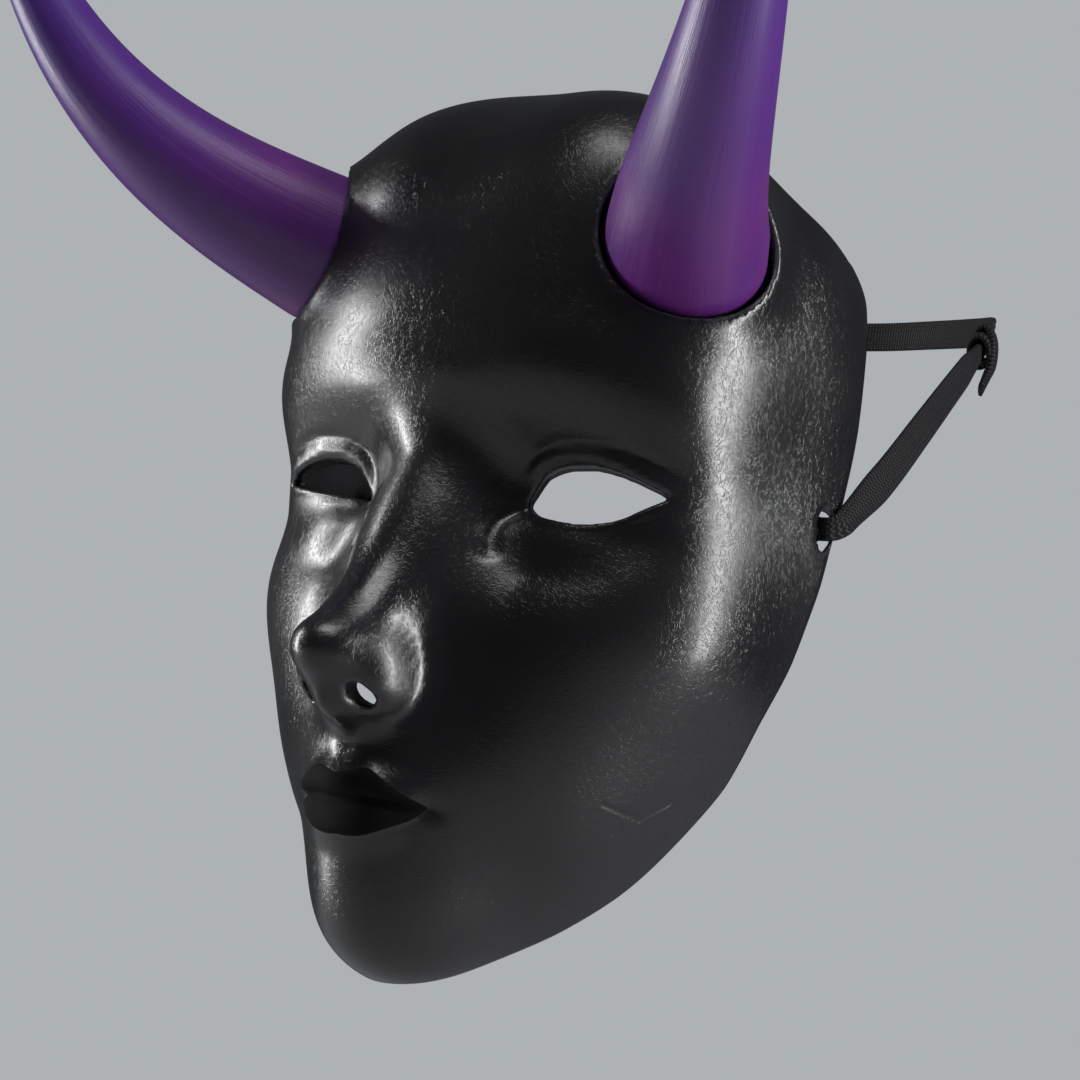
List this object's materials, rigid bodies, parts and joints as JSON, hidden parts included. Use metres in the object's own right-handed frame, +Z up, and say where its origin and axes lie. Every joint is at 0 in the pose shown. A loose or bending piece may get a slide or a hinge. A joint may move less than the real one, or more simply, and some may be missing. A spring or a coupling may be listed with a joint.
{
  "type": "horned theatre mask",
  "caption": "Full-face satin black theatre mask with open eyes and nostrils, closed matt lips, long curved violet horns at the temples and a flat elastic head loop.",
  "frame": {"origin": "where the inside of the shell rests on the bridge of the wearer's nose", "axes": "+X to the wearer's left, -Y the way the face looks, +Z up"},
  "size_m": [0.2262, 0.251, 0.2711],
  "materials": {
    "satin_black_shell": "satin",
    "violet_horn": "satin",
    "woven_elastic": "matte"
  },
  "bodies": {
    "root": {"mask_shell": "satin_black_shell", "horn_left": "violet_horn", "horn_right": "violet_horn", "elastic_short": "woven_elastic", "elastic_long": "woven_elastic", "elastic_knot": "woven_elastic"}
  },
  "joints": []
}
